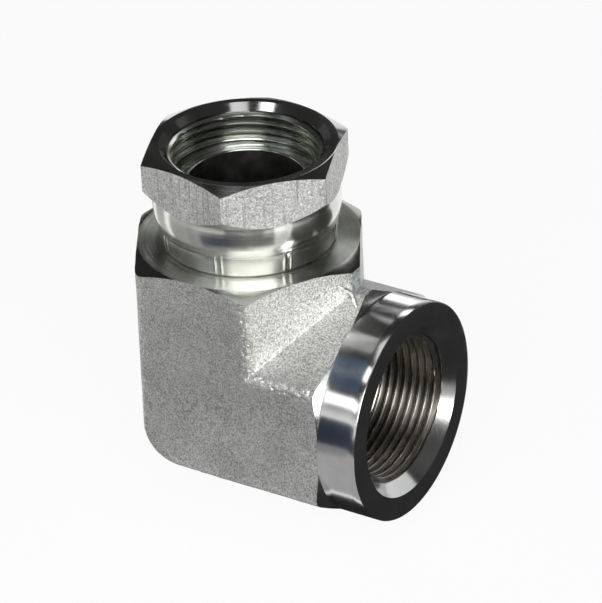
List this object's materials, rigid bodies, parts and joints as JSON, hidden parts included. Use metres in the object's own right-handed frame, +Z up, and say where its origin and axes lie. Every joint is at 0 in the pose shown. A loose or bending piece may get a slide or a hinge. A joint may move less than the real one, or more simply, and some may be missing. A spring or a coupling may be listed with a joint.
{
  "type": "swivel elbow",
  "caption": "Right-angle hydraulic pipe elbow with hexagonal forged legs, a fixed female threaded port and a female threaded swivel nut with a crimped skirt.",
  "frame": {"origin": "centre of the fixed port's end face", "axes": "+X leaves the fixed port along its axis, +Z is up and runs parallel to the swivel nut's axis, which stands 49.5 mm behind the origin at X = -49.5 mm"},
  "size_m": [0.0835, 0.0606, 0.1035],
  "materials": {
    "body_steel": "zinc-plated forging, shot-blasted flats, bright turned ends",
    "nut_steel": "zinc-plated forging, shot-blasted flats, bright turned faces and skirt"
  },
  "bodies": {
    "elbow": {"elbow_body": "body_steel"},
    "nut": {"swivel_nut": "nut_steel"}
  },
  "joints": [
    {"name": "nut_spin", "type": "hinge", "parent": "elbow", "child": "nut", "pos_m": [-0.0495, 0, 0.055], "axis": [0, 0, 1], "continuous": true}
  ]
}
